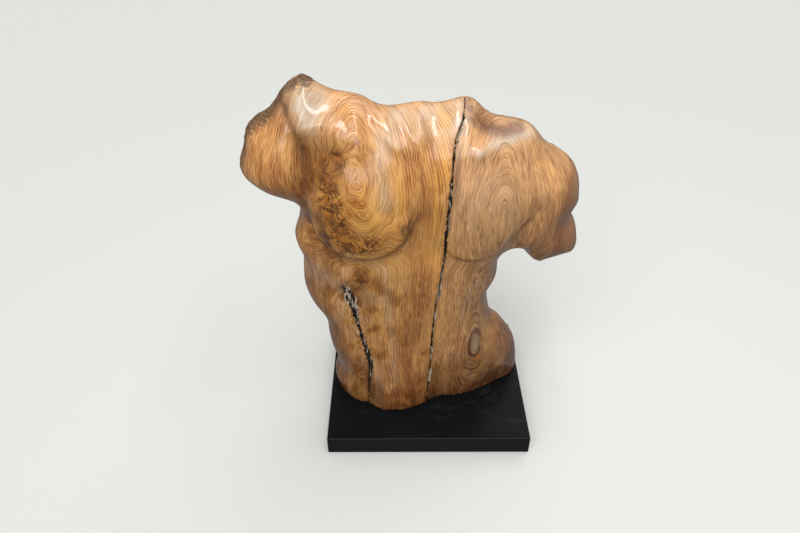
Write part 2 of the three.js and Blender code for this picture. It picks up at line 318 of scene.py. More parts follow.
# Widths of the cracks in metres, at shares of their length
LONG_CRACK_WIDTHS = [
    (0, 0.0012), (0.06, 0.0020), (0.12, 0.0036), (0.18, 0.0026), (0.25, 0.0056), (0.3, 0.0040),
    (0.38, 0.0054), (0.46, 0.0032), (0.55, 0.0042), (0.62, 0.0026), (0.72, 0.0044), (0.8, 0.0030),
    (0.9, 0.0040), (1, 0.0016),
]
FLANK_CRACK_WIDTHS = [
    (0, 0.0030), (0.06, 0.0090), (0.16, 0.0110), (0.26, 0.0074), (0.34, 0.0050), (0.45, 0.0082),
    (0.58, 0.0100), (0.66, 0.0070), (0.74, 0.0036), (0.84, 0.0024), (1, 0.0014),
]
SIDE_CRACK_WIDTHS = [(0, 0.0008), (0.5, 0.0022), (1, 0.0026)]
CRACKS = [
    (LONG_CRACK, LONG_CRACK_WIDTHS, 1),
    (FLANK_CRACK, FLANK_CRACK_WIDTHS, 2),
    (SIDE_CRACK, SIDE_CRACK_WIDTHS, 3),
]
RAGGED_REACH = 0.02  # how far from a crack's path its walls are worked out, in metres
RAGGED_SHARE = 0.7  # how much the walls wander, as a share of the crack's width


def crack_gap(points, path, widths, seed):
    """How far inside a crack each point lies, in metres and negative outside it, with its share and side."""
    x, z = shares(points)
    nearest, share, side = along(x, z, path)
    half = np.interp(share, [s for s, _ in widths], [w / 2 for _, w in widths])
    # The noise runs along the crack, and its two walls are too far apart in it to match.
    line = np.stack([share * 300, side * 5, np.full(len(share), seed)], axis=1)
    ragged = np.zeros(len(share))
    close = nearest * THOUSANDTH < RAGGED_REACH
    ragged[close] = cloud(line[close], 4.5, 4, seed)
    return half * (1 + RAGGED_SHARE * ragged) - nearest * THOUSANDTH, share, side


def broken_edge(share):
    """Waves along a crack that pick out where bark still clings to its edge."""
    return smoothstep(0.15, 0.45, np.sin(share * 41 + 1) * np.sin(share * 17 + 2.3))


REFINED_TURN = 0.35  # faces are refined where the surface faces back less than this


def near_cracks(points, normals, reach):
    """Which points lie within reach of a crack, on the front."""
    x, z = shares(points)
    gap = np.min([along(x, z, path)[0] for path, _, _ in CRACKS], axis=0) * THOUSANDTH
    return (gap < reach) & (normals[:, 1] < REFINED_TURN)


KNOT_CENTRE = (136, 221)
KNOT_RADII = (18, 41)


def belly_knot(x, z):
    """How far outside the outline of the knot on the belly each point lies, as a share of its radius."""
    return np.hypot((x - KNOT_CENTRE[0]) / KNOT_RADII[0], (z - KNOT_CENTRE[1]) / KNOT_RADII[1]) - 1


# Lower edges of the chest: path, depth of the groove and height of the lip inside it, in metres
CHEST_EDGES = (
    (LEFT_CHEST_EDGE, 0.0040, 0.0022),
    (RIGHT_CHEST_EDGE, 0.0026, 0.0014),
)
GROOVE_WIDTH = 6.5
LIP_PLACE, LIP_WIDTH = 16, 11
FOLD_HEIGHT, FOLD_WIDTH = 0.0052, 14
# Carved lines: height in metres, path and width
CARVED_LINES = (
    (-0.0030, ARM_CREASE, 9),
    (0.0022, RIGHT_RIDGE, 12),
    (-0.0045, RIGHT_VALLEY, 13),
    (0.0028, SHOULDER_SHELF, 14),
)
# Hollows and swells: height in metres, centre, radii and lean
CARVED_SPOTS = (
    (-0.0045, (-268, 848), (52, 34)),  # hollow between the left arm and the chest
    (0.0022, KNOT_FACE, (12, 34)),
    (-0.0028, (150, 166), (8, 5)),  # chip below the knot
    (-0.0016, (-237, 840), (15, 12), 30),  # burl at the top of the left chest
    (-0.0012, LEFT_CHEST_SPOT, (9, 12)),
    (-0.0022, (-262, 700), (26, 60), 10),  # dents along the left edge of the chest
    (0.0014, (-232, 720), (16, 50), 10),
    (-0.0018, (-290, 660), (18, 40)),
)
KNOT_GROOVE_DEPTH, KNOT_GROOVE_WIDTH = 0.0018, 0.13


def carve_front(carving):
    """The finer carving of the chest, the folds below the neck and the knots, as moves along the normals."""
    x, z = shares(carving.points)
    front = smoothstep(0.15, -0.35, carving.normals[:, 1])
    rise = ridges(x, z, CARVED_LINES) + spots(x, z, CARVED_SPOTS)
    for path, groove, lip in CHEST_EDGES:
        nearest, share, side = along(x, z, path)
        ends = smoothstep(0, 0.16, share) * smoothstep(1, 0.84, share)
        rise -= groove * ends * np.exp(-((nearest / GROOVE_WIDTH) ** 2))
        rise += lip * ends * np.exp(-(((nearest - LIP_PLACE) / LIP_WIDTH) ** 2)) * (side > 0)
    for fold in CHEST_FOLDS:
        nearest, share, _ = along(x, z, fold)
        ends = smoothstep(0, 0.3, share) * smoothstep(1, 0.55, share)
        rise += FOLD_HEIGHT * ends * np.exp(-((nearest / FOLD_WIDTH) ** 2))
    rise -= KNOT_GROOVE_DEPTH * np.exp(-((belly_knot(x, z) / KNOT_GROOVE_WIDTH) ** 2))
    return rise * front


RAW_BEHIND_LEFT = (
    (1, (-400, 930), (120, 90), -35),
    (0.8, (-480, 840), (60, 90)),
)
RAW_BEHIND_RIGHT = (
    (0.7, (230, 880), (180, 60), -25),
    (0.5, (70, 950), (60, 40)),
)


def raw_rim(carving):
    """How raw and weathered the wood is, along the top edge, over the left arm stump and behind them."""
    x, z = shares(carving.points)
    turned = carving.normals[:, 1]
    behind = spots(x, z, RAW_BEHIND_LEFT) * smoothstep(0.3, 0.8, turned)
    behind += spots(x, z, RAW_BEHIND_RIGHT) * smoothstep(0.85, 1, turned)
    from_left = along(x, z, LEFT_RIM)[0]
    left_edge = 0.85 * smoothstep(33, 2, from_left) * smoothstep(-0.85, -0.3, turned)
    from_right, share, _ = along(x, z, RIGHT_RIM)
    ends = smoothstep(0, 0.1, share) * smoothstep(1, 0.85, share)
    right_edge = 0.9 * ends * smoothstep(40, 4, from_right) * smoothstep(0.0, 0.65, turned)
    edges = np.maximum(left_edge, carving.widened(right_edge, 1))
    patches = 0.85 + 0.3 * cloud(carving.points, 0.02, 3, 4)
    return np.clip(np.maximum(np.clip(behind * 1.5, 0, 1), edges) * patches, 0, 1)


def bowed(x, z, centre, above, below, reach):
    """Distance from an upright pith line, with the lines bowed over or under a centre as far as the reach."""
    rise = reach * np.tanh((z - centre[1]) / reach)
    return np.hypot(x - centre[0], np.where(rise > 0, above, below) * rise)


LEFT_PITH = -193
RIGHT_PITH = 168


def left_stem(x, z):
    """Distance from the pith of the stem left of the long crack, bowed round the chest and the flank."""
    chest = smoothstep(520, 590, z)
    swirl = bowed(x, z, (LEFT_PITH, 802), 0.25, 0.8, 200) * chest
    swirl += bowed(x, z, (-205, 480), 0.3, 0.16, 200) * (1 - chest)
    near_crack = smoothstep(-130, -50, x)
    upright = np.maximum(near_crack, smoothstep(-300, -350, x))
    return swirl * (1 - upright) + np.abs(x - LEFT_PITH) * upright + 5 * np.sin(z / 130) * near_crack


def right_stem(x, z):
    """Distance from the pith of the stem right of the long crack, bowed over the chest and the knot."""
    belly = smoothstep(560, 500, z)
    arch = bowed(x, z, (170, 700), 0.25, 0.05, 110) * (1 - belly)
    arch += bowed(x, z, (137, 217), 0.2, 0.42, 160) * belly
    upright = smoothstep(225, 280, x)
    return arch * (1 - upright) + np.abs(x - RIGHT_PITH) * upright


# Where the grain runs wild: strength, centre, radii and lean
WILD_GRAIN = (
    (1, (-255, 720), (52, 170), 6),
    (0.7, (-215, 600), (70, 50)),
    (0.8, (-225, 420), (80, 130)),
    (0.5, (-230, 150), (60, 120)),
    (0.5, (-175, 780), (80, 90)),
    (0.3, (170, 800), (90, 110)),
    (0.45, (-185, 890), (100, 70)),
)
# Knots that the rings run round: rings, centre, radii and lean
FRONT_KNOTS = (
    (-6, (-237, 840), (26, 22), 30),
    (3.5, (-268, 745), (20, 34), 10),
    (-4, (-187, 497), (26, 22)),
    (4, (-300, 470), (36, 34)),
    (-2, LEFT_CHEST_SPOT, (16, 22)),
    (3, SMALL_KNOT, (5, 9)),
)
BACK_KNOTS = (
    (7, (-150, 640), (40, 70)),
    (6, (120, 500), (36, 60)),
    (-5, (60, 800), (30, 40)),
    (5, (170, 140), (40, 70)),
)
FRONT_LIMIT = 0.02  # the front's rings reach this far back, in metres
PITH_DEPTH = 33
SEAM_BLEND_FRONT, SEAM_BLEND_BACK = 9, 70  # how softly one stem's rings pass into the other's


def growth(carving, ring_width):
    """The ring number and the fibre line at each point, and how far it lies in the stem on the right."""
    p = carving.points
    x, z = shares(p)
    y = p[:, 1] / THOUSANDTH
    crack_x = np.interp(z, [h for _, h in reversed(LONG_CRACK)], [w for w, _ in reversed(LONG_CRACK)])
    front = p[:, 1] < FRONT_LIMIT
    blend = np.where(front, SEAM_BLEND_FRONT, SEAM_BLEND_BACK)
    right = smoothstep(-blend, blend, x - crack_x)
    smooth = left_stem(x, z) * (1 - right) + right_stem(x, z) * right
    smooth += np.where(front, 0.4, 0.55) * (y - PITH_DEPTH)
    smooth *= THOUSANDTH / ring_width

    upright = p * np.array([1, 1, 0.28])
    rings = smooth + 1.5 * cloud(upright, 0.07, 2, 11) + 0.45 * cloud(upright, 0.02, 2, 12)
    rings += 4.5 * np.clip(spots(x, z, WILD_GRAIN), 0, 1) * cloud(p, 0.03, 3, 13)
    rings += np.where(front, spots(x, z, FRONT_KNOTS), spots(x, z, BACK_KNOTS))
    return rings, 0.65 * smooth + 0.35 * rings, right


# Colour marks on the front: strength, then centre, radii and lean, or path and width
FLANK = (
    (1, (-205, 400), (110, 190)),
    (0.6, (-190, 120), (70, 130)),
)
GOLD_SPOTS = (
    (1, (-180, 680), (140, 130)),  # left chest
    (0.7, (-150, 330), (60, 200)),  # belly beside the flank crack
)
GOLD_LINES = ((0.8, [(20, 930), (5, 700), (0, 560)], 24),)
RUST_SPOTS = (
    (0.8, (-35, 330), (55, 300), -3),  # streak down the belly
    (0.7, (-420, 760), (90, 130)),  # left arm
    (0.7, (290, 640), (50, 130)),  # right arm
)
RUST_LINES = ((0.7, [(-55, 860), (-52, 700), (-45, 560)], 22),)
PALE_SPOTS = (
    (1.4, (-305, 952), (40, 44), 20),  # sapwood on the left shoulder
    (0.5, (-300, 478), (46, 38)),
    # The knot's face is paler wood with a painted highlight
    (1.7, (137, 230), (10, 24)),  # face of the knot
    (0.65, (-10, 915), (80, 34)),
    (0.5, (60, 930), (30, 30)),
    (0.5, (-236, 560), (20, 14)),
    (0.45, (200, 540), (26, 60)),
    (0.32, (140, 735), (100, 95)),  # right chest
)
PALE_LINES = (
    (0.9, RIGHT_RIDGE, 9),
    (0.4, [(-125, 519), (-113, 304), (-100, 130)], 14),
    (0.5, [(-95, 910), (-140, 840), (-120, 740)], 22),
    (0.7, [(-240, 450), (-219, 388)], 12),
    (0.4, [(-165, 150), (-150, 40)], 20),
    (0.5, BELLY_ARCH, 4),
    (0.4, BELLY_BOW, 4),
)
BURL_SPOTS = (
    (1, (-256, 715), (40, 110), 6),
    (0.9, (-215, 618), (70, 34)),
    (0.8, (-237, 840), (30, 22)),
    (0.3, (-150, 640), (60, 40)),
    (0.5, (-200, 460), (34, 40)),
    (0.3, (-290, 180), (26, 60)),
)
# Painted shade: darker in the hollows, on the hips and along the flanks, mixed with darker wood
SHADE_AND_DARK_WOOD_SPOTS = (
    (1.8, (-250, 30), (90, 130), 10),  # left hip
    (0.25, (310, 700), (80, 140)),
    (0.5, (-330, 300), (60, 200), 12),
    (0.25, (-255, 640), (60, 90)),
    (0.8, (-262, 822), (50, 42)),  # hollow between the left arm and the chest
    (0.35, (205, 420), (40, 120)),
    (0.55, (-180, 410), (30, 80)),
    (0.4, (-228, 462), (40, 24)),
    (0.3, (-35, 330), (40, 300), -3),
    (0.2, (230, 150), (90, 160)),
)
# Painted shade along the right valley, the arm crease and the left chest's lower edge
CREASE_SHADE_LINES = (
    (0.95, RIGHT_VALLEY, 15),
    (0.45, ARM_CREASE, 20),
    (0.35, LEFT_CHEST_EDGE, 24),
)
# Painted shade beside the left chest, broken by smoky dark wood
CHEST_SIDE_SHADE = ((0.9, (-258, 700), (60, 150), 6),)
STAIN_AND_SHADE_SPOTS = (
    (3, LEFT_CHEST_SPOT, (9, 13), 15),
    (1.2, (-66, 672), (4, 26), -20),
    (0.5, (-232, 452), (22, 22)),
    (0.9, SMALL_KNOT, (3.5, 4)),
    (0.6, (-237, 838), (12, 5), 30),
    # painted shade over darker wood on the left hip
    (0.18, (-250, 60), (80, 120)),
    (0.7, (150, 158), (10, 7)),
)
STAIN_AND_SHADE_LINES = (
    (0.5, [(58, 862), (50, 740)], 8),
    (0.45, FLANK_CRACK, 11),
    (0.3, LONG_CRACK, 7),
    # the lines along the chest's lower edges and the arm crease are painted shade in the creases
    (0.42, LEFT_CHEST_EDGE, 6),
    (0.25, RIGHT_CHEST_EDGE, 6),
    (0.25, ARM_CREASE, 7),
)
KNOT_STAIN, KNOT_STAIN_WIDTH = 2.4, 0.16
BOLD_RINGS = (
    (0.6, (-215, 400), (110, 190)),
    (0.85, (180, 190), (120, 170)),
    (-0.3, (-185, 885), (90, 60)),
    (0.3, (-40, 920), (110, 40)),
)
CHIPS = (
    (1, (150, 170), (9, 5)),
    (0.6, (-236, 843), (11, 7), 20),
)


def wood_tones(carving, right):
    """Where the wood is brown, golden, rusty or cut across the grain, and how bold its rings are."""
    x, z = shares(carving.points)
    front = smoothstep(0.25, -0.2, carving.normals[:, 1])
    drift = 0.5 + 0.5 * cloud(carving.points, 0.07, 2, 21)
    brown = np.maximum(right * (0.82 + 0.18 * drift), (1 - front) * (0.35 + 0.5 * drift))
    gold = front * (1 - right) * np.clip(spots(x, z, GOLD_SPOTS) + ridges(x, z, GOLD_LINES), 0, 1)
    rust = spots(x, z, RUST_SPOTS) + ridges(x, z, RUST_LINES)
    rust += 0.6 * np.clip(cloud(carving.points, 0.03, 2, 22), 0, 1) * (1 - right)
    figure = 0.18 + 0.36 * gold + 0.3 * (1 - front) + front * (spots(x, z, BOLD_RINGS) + 0.12 * (1 - right))
    band_x = np.interp(z, [h for _, h in ARM_END_BAND], [w for w, _ in ARM_END_BAND])
    return {
        "brown": brown, "gold": gold, "rust": np.clip(rust, 0, 1) * front,
        "figure": np.clip(figure, 0.05, 0.9), "end_band": smoothstep(-4, 4, x - band_x)}


def wood_marks(carving):
    """Where the wood is creamy, pale, burled, darker, stained or chipped, and where shade is painted into its
    hollows, creases and lower parts.
    """
    x, z = shares(carving.points)
    front = smoothstep(0.25, -0.2, carving.normals[:, 1])
    smoke = cloud(carving.points * np.array([1, 1, 0.7]), 0.026, 3, 24)
    flank = spots(x, z, FLANK)
    cream = 1.2 * flank * smoothstep(-0.1, 0.4, smoke) + 0.35 * spot(x, z, (-150, 885), (120, 50))
    pale = spots(x, z, PALE_SPOTS) + ridges(x, z, PALE_LINES)
    burl = spots(x, z, BURL_SPOTS) + 0.3 * flank * smoothstep(0.1, -0.3, smoke)
    dark = spots(x, z, SHADE_AND_DARK_WOOD_SPOTS) + ridges(x, z, CREASE_SHADE_LINES)
    dark += 0.9 * flank * smoothstep(0.05, -0.5, smoke)
    dark += spots(x, z, CHEST_SIDE_SHADE) * smoothstep(0.15, -0.4, smoke)
    # Painted shade: darker towards the bottom and along the lower right side
    dark += 0.5 * smoothstep(170, 0, z) + 0.5 * smoothstep(560, 200, z)
    dark += 0.3 * smoothstep(200, 320, x) * smoothstep(640, 560, z)
    stain = spots(x, z, STAIN_AND_SHADE_SPOTS) + ridges(x, z, STAIN_AND_SHADE_LINES)
    stain += KNOT_STAIN * np.exp(-((belly_knot(x, z) / KNOT_STAIN_WIDTH) ** 2))
    return {
        "cream": np.clip(cream, 0, 0.9) * front, "pale": np.clip(pale, 0, 1) * front,
        "burl": np.clip(burl, 0, 1) * front, "dark": np.clip(dark, 0, 1) * (0.55 + 0.45 * front),
        "stain": np.clip(stain, 0, 1) * front, "chip": spots(x, z, CHIPS) * front}


# Working of the blank: reaches are distances from a crack's path in metres.
SEAT_BAND = 0.6  # points on the seat lie within this share of a face's size above it
GROOVE_REACH = 0.011
GROOVE_ROUNDS = 112
GROOVE_RELAX = 0.6
SMOOTH_ROUNDS = 42
# Each splitting of the faces: its reach from a crack, and from the knot's outline as a share of its radius
SPLITTINGS = ((0.0085, 0.2975), (0.0065, 0.2275))
SPLIT_ROUNDS = 4


def on_seat(carving, voxel):
    """Which points lie on the seat, where the torso meets the plinth."""
    return carving.points[:, 2] < SEAT + SEAT_BAND * voxel


def smooth_blank(carving, voxel):
    """Fills the solid's stepped crack grooves and smooths its facets, but not its seat."""
    free = (~on_seat(carving, voxel)).astype(float)
    groove = near_cracks(carving.points, carving.normals, GROOVE_REACH).astype(float)
    for _ in range(GROOVE_ROUNDS):
        carving.relax(GROOVE_RELAX, groove * free)
    carving.even_out(SMOOTH_ROUNDS, free)
    carving.write()


def split_finer(carving, voxel):
    """Makes the faces finer near the cracks and the knot. Returns which points lie on the seat."""
    for crack_reach, knot_reach in SPLITTINGS:
        near = near_cracks(carving.points, carving.normals, crack_reach)
        near |= (np.abs(belly_knot(*shares(carving.points))) < knot_reach) & (carving.normals[:, 1] < 0)
        carving.refine(near)
    seated = on_seat(carving, voxel)
    carving.even_out(SPLIT_ROUNDS, (~seated).astype(float))
    carving.write()
    return seated


CRACK_TURN = 0.45  # cracks are cut where the surface faces back less than this
BARK = ((-221, 402), (17, 56), 14)  # bark left in the top of the flank crack
# Lower in the flank crack the painted shade on its walls shows without pale fibres
DARK_WALL = ((-180, 200), (40, 110))  # clean dark walls lower in the flank crack
BARK_HEIGHT = 0.0016  # how far the bark's fibres stand out, in metres


def cut_cracks(carving, crack_depth, seated):
    """Cuts the cracks inwards. Returns where torn wood and bark show, and how bright their fibres are."""
    x, z = shares(carving.points)
    on_front = carving.normals[:, 1] < CRACK_TURN
    fibres = cloud(carving.points * np.array([1, 1, 0.16]), 0.003, 3, 33)
    bark = spot(x, z, *BARK) * on_front
    fibres += 0.28 * bark - 0.3 * spot(x, z, *DARK_WALL)
    depth, torn = np.zeros(len(x)), np.zeros(len(x))
    for path, widths, seed in CRACKS:
        inside, share, side = crack_gap(carving.points, path, widths, seed)
        depth = np.maximum(depth, smoothstep(-0.0004, 0.0012, inside) * on_front)
        if path is LONG_CRACK:
            flakes = smoothstep(-0.0020, -0.0004, inside) * (side > 0) * broken_edge(share)
            torn = np.maximum(torn, flakes * on_front)
    fibres += 0.6 * torn
    torn = np.maximum(np.maximum(torn, depth), smoothstep(0.35, 0.75, bark + 0.3 * fibres))
    cut = crack_depth * depth * (0.75 + 0.35 * fibres) * (1 - 0.6 * bark)
    cut -= BARK_HEIGHT * bark * (fibres - 0.6)
    carving.points -= carving.normals * cut[:, None]
    carving.points[:, 2] = np.maximum(carving.points[:, 2], SEAT)
    carving.points[seated, 2] = SEAT
    carving.write()
    return torn, fibres


RAW_RELIEF = 0.0016  # height of the raw wood's rough surface, in metres


class SCULPTURE_OT_torso(bpy.types.Operator):
    """Carve the torso finely over its solid and give it its wood"""

    bl_idname = "sculpture.torso"
    bl_label = "Carve torso"

    def execute(self, context):
        settings = context.scene.torso_settings
        carving = Carving(remeshed_torso(settings.voxel))
        smooth_blank(carving, settings.voxel)
        seated = split_finer(carving, settings.voxel)

        raw = raw_rim(carving)
        rings, fibre_line, right = growth(carving, settings.ring_width)
        kept = {"ring": rings, "fibre_line": fibre_line, "raw": raw}
        kept |= wood_tones(carving, right) | wood_marks(carving)
        rise = carve_front(carving)
        rise += settings.tool_marks * cloud(carving.points, 0.045, 2, 31)
        rise += RAW_RELIEF * raw * cloud(carving.points, 0.009, 3, 32)
        carving.points += carving.normals * np.where(seated, 0, rise)[:, None]
        carving.write()
        kept["crack"], kept["fibres"] = cut_cracks(carving, settings.crack_depth, seated)
        for name, values in kept.items():
            carving.keep(name, values)

        piece = bpy.data.objects.new("carved_torso", carving.mesh)
        context.scene.collection.objects.link(piece)
        carving.mesh.shade_smooth()
        carving.mesh.materials.append(root_wood(settings))
        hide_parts("torso")
        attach(piece, "root")
        return {"FINISHED"}


class SCULPTURE_OT_plinth(bpy.types.Operator):
    """Make the plinth as a board with softly rounded edges and satin black lacquer"""

    bl_idname = "sculpture.plinth"
    bl_label = "Make plinth"

    def execute(self, context):
        settings = context.scene.plinth_settings
        size = PLINTH_HIGH - PLINTH_LOW
        board = bmesh.new()
        bmesh.ops.create_cube(board, size=1)
        bmesh.ops.scale(board, vec=size, verts=board.verts)
        bmesh.ops.translate(board, vec=(PLINTH_LOW + PLINTH_HIGH) / 2, verts=board.verts)
        bmesh.ops.bevel(
            board, geom=board.edges[:], offset=settings.edge_radius, segments=4, profile=0.5,
            affect="EDGES", clamp_overlap=True)
        mesh = bpy.data.meshes.new("plinth_board")
        board.to_mesh(mesh)
        board.free()
        mesh.shade_smooth()
        mesh.set_sharp_from_angle(angle=math.radians(40))
        piece = bpy.data.objects.new("plinth_board", mesh)
        context.scene.collection.objects.link(piece)
        weighted = piece.modifiers.new("Flat faces", "WEIGHTED_NORMAL")
        weighted.keep_sharp = True
        mesh.materials.append(black_lacquer(settings))
        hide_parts("plinth")
        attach(piece, "root")
        return {"FINISHED"}


# Materials


class Graph:
    """Adds nodes to a node tree and feeds their sockets."""

    def __init__(self, tree):
        self.tree = tree

    def feed(self, socket, value):
        if isinstance(value, bpy.types.NodeSocket):
            self.tree.links.new(value, socket)
        else:
            socket.default_value = value

    def add(self, kind, inputs=(), **settings):
        node = self.tree.nodes.new(kind)
        for key, value in settings.items():
            setattr(node, key, value)
        for key, value in dict(inputs).items():
            self.feed(node.inputs[key], value)
        return node

    def math(self, operation, a, b=0.0, c=0.0, clamp=False):
        return self.add("ShaderNodeMath", {0: a, 1: b, 2: c}, operation=operation, use_clamp=clamp).outputs[0]

    def attribute(self, name):
        return self.add("ShaderNodeAttribute", attribute_name=name).outputs["Fac"]

    def noise(self, vector, scale=1.0, detail=3.0, roughness=0.5, distortion=0.0):
        node = self.add("ShaderNodeTexNoise", {
            "Vector": vector, "Scale": scale, "Detail": detail, "Roughness": roughness,
            "Distortion": distortion})
        return node.outputs["Fac"]

    def mix(self, factor, a, b, blend="MIX"):
        node = self.add("ShaderNodeMix", data_type="RGBA", blend_type=blend)
        self.feed(node.inputs[0], factor)
        self.feed(node.inputs[6], a)
        self.feed(node.inputs[7], b)
        return node.outputs[2]

    def between(self, value, low, high, bottom=0.0, top=1.0):
        """Maps low..high to bottom..top, smoothly and clamped."""
        return self.add("ShaderNodeMapRange", {
            "Value": value, "From Min": low, "From Max": high, "To Min": bottom, "To Max": top},
            interpolation_type="SMOOTHSTEP").outputs[0]

    def vector(self, x, y, z):
        return self.add("ShaderNodeCombineXYZ", {0: x, 1: y, 2: z}).outputs[0]


def new_group(name, inputs, outputs):
    """A shader node group with named sockets, and its graph."""
    tree = bpy.data.node_groups.new(name, "ShaderNodeTree")
    for label, kind, default in inputs:
        socket = tree.interface.new_socket(label, in_out="INPUT", socket_type=kind)
        if default is not None:
            socket.default_value = default
    for label, kind in outputs:
        tree.interface.new_socket(label, in_out="OUTPUT", socket_type=kind)
    graph = Graph(tree)
    return tree, graph, graph.add("NodeGroupInput").outputs, graph.add("NodeGroupOutput").inputs


def grain_group():
    """Growth rings, long fibres and open pores, as masks that follow the ring number."""
    if "wood_grain" in bpy.data.node_groups:
        return bpy.data.node_groups["wood_grain"]
    tree, g, given, out = new_group(
        "wood_grain",
        [("Position", "NodeSocketVector", None), ("Ring", "NodeSocketFloat", 0.0),
         ("Fibre line", "NodeSocketFloat", 0.0)],
        [("Rings", "NodeSocketFloat"), ("Seams", "NodeSocketFloat"), ("Streaks", "NodeSocketFloat"),
         ("Fibres", "NodeSocketFloat"), ("Pores", "NodeSocketFloat"), ("Flecks", "NodeSocketFloat")])
    position, ring, fibre_line = given["Position"], given["Ring"], given["Fibre line"]
    split = g.add("ShaderNodeSeparateXYZ", {0: position}).outputs
    wobble = g.noise(position, 34.0, 3.0, 0.55)
    number = g.math("ADD", ring, g.math("MULTIPLY", wobble, 0.7))
    part = g.math("FRACT", number)
    late = g.between(part, 0.3, 0.84)
    back = g.between(part, 0.88, 1.0, 1.0, 0.0)
    strength_at = g.vector(g.math("MULTIPLY", number, 0.73), g.math("MULTIPLY", split[2], 4.0), 0.0)
    strength = g.noise(strength_at, 1.0, 2.0)
    strong = g.between(strength, 0.36, 0.66, 0.05, 1.0)
    g.feed(out["Rings"], g.math("MULTIPLY", g.math("MULTIPLY", late, back), strong))
    seam = g.math("MULTIPLY", g.between(part, 0.0, 0.1), g.between(part, 0.14, 0.3, 1.0, 0.0))
    g.feed(out["Seams"], g.math("MULTIPLY", seam, g.between(strength, 0.64, 0.4, 0.1, 1.0)))
    streak_at = g.vector(g.math("MULTIPLY", ring, 0.34), g.math("MULTIPLY", split[2], 5.0), split[1])
    g.feed(out["Streaks"], g.noise(streak_at, 1.0, 3.0, 0.6))
    fibre_at = g.vector(
        g.math("MULTIPLY", fibre_line, 3.2), g.math("MULTIPLY", split[2], 15.0),
        g.math("MULTIPLY", split[1], 9.0))
    g.feed(out["Fibres"], g.noise(fibre_at, 1.0, 2.0, 0.6))
    pore_at = g.vector(
        g.math("MULTIPLY", fibre_line, 5.2), g.math("MULTIPLY", split[2], 62.0),
        g.math("MULTIPLY", split[1], 34.0))
    dash = g.noise(pore_at, 1.0, 1.0, 0.5)
    g.feed(out["Pores"], g.between(dash, 0.53, 0.68))
    g.feed(out["Flecks"], g.between(dash, 0.47, 0.33))
    return tree


def mottling_group():
    """Soft patches at three sizes, for stains, wiped smudges and uneven gloss."""
    if "mottling" in bpy.data.node_groups:
        return bpy.data.node_groups["mottling"]
    tree, g, given, out = new_group(
        "mottling",
        [("Position", "NodeSocketVector", None), ("Stretch", "NodeSocketVector", (1, 1, 1))],
        [("Broad", "NodeSocketFloat"), ("Middle", "NodeSocketFloat"), ("Fine", "NodeSocketFloat")])
    placed = g.add("ShaderNodeVectorMath", {0: given["Position"], 1: given["Stretch"]},
                   operation="MULTIPLY").outputs[0]
    for label, scale, detail, warp in (
        ("Broad", 7.0, 3.0, 0.6), ("Middle", 28.0, 4.0, 0.9), ("Fine", 160.0, 3.0, 0.3),
    ):
        g.feed(out[label], g.noise(placed, scale, detail, 0.55, warp))
    return tree


def new_material(name):
    material = bpy.data.materials.new(name)
    material.use_nodes = True
    tree = material.node_tree
    shader = tree.nodes["Principled BSDF"]
    return material, Graph(tree), shader


def placed_group(g, group, inputs):
    """Places a node group in a material and feeds its inputs. Returns its outputs."""
    node = g.add("ShaderNodeGroup", node_tree=group)
    for key, value in inputs.items():
        g.feed(node.inputs[key], value)
    return node.outputs


# Tones of early and of late wood, besides the two that the panel sets
GOLDEN = ((0.98, 0.52, 0.082, 1), (0.40, 0.15, 0.02, 1))
RUSTY = ((0.66, 0.29, 0.08, 1), (0.34, 0.11, 0.028, 1))
BROWN = ((0.68, 0.385, 0.180, 1), (0.36, 0.175, 0.075, 1))
CREAMY = ((0.80, 0.56, 0.31, 1), (0.50, 0.25, 0.09, 1))
SAPWOOD = ((0.60, 0.55, 0.475, 1), (0.40, 0.335, 0.26, 1))
# Single tones in the wood
HONEY = (0.82, 0.46, 0.13, 1)
PALE_HONEY = (0.86, 0.52, 0.19, 1)
RING_SEAM = (0.86, 0.56, 0.26, 1)
PORE = (0.15, 0.055, 0.02, 1)
FLECK = (0.88, 0.56, 0.27, 1)
ARM_END = (0.27, 0.115, 0.065, 1)
# Painted shade for the hollows, creases and lower parts, also laid over darker wood
HOLLOW_SHADE = (0.30, 0.22, 0.18, 1)
BURL_GROUND = (0.60, 0.245, 0.028, 1)
BURL_MARK = (0.055, 0.014, 0.002, 1)
# Tone of real stains, also used for painted shade in the creases
STAIN_AND_SHADE = (0.05, 0.020, 0.009, 1)
CHIPPED_WOOD = (0.62, 0.22, 0.05, 1)
OIL_TINT = (1.05, 0.965, 0.86, 1)
# Dark and pale tones of raw wood, and of a crack's walls: painted shade deep in the crack, and pale torn
# fibres and bark
RAW_WOOD = ((0.020, 0.012, 0.008, 1), (0.22, 0.135, 0.080, 1))
CRACK_SHADE_AND_FIBRES = ((0.026, 0.018, 0.015, 1), (0.52, 0.43, 0.33, 1))
# How the scratches in raw wood are turned and packed
SCRATCH_TURN = (0, math.radians(40), 0)
SCRATCH_SCALE = (60.0, 80.0, 560.0)


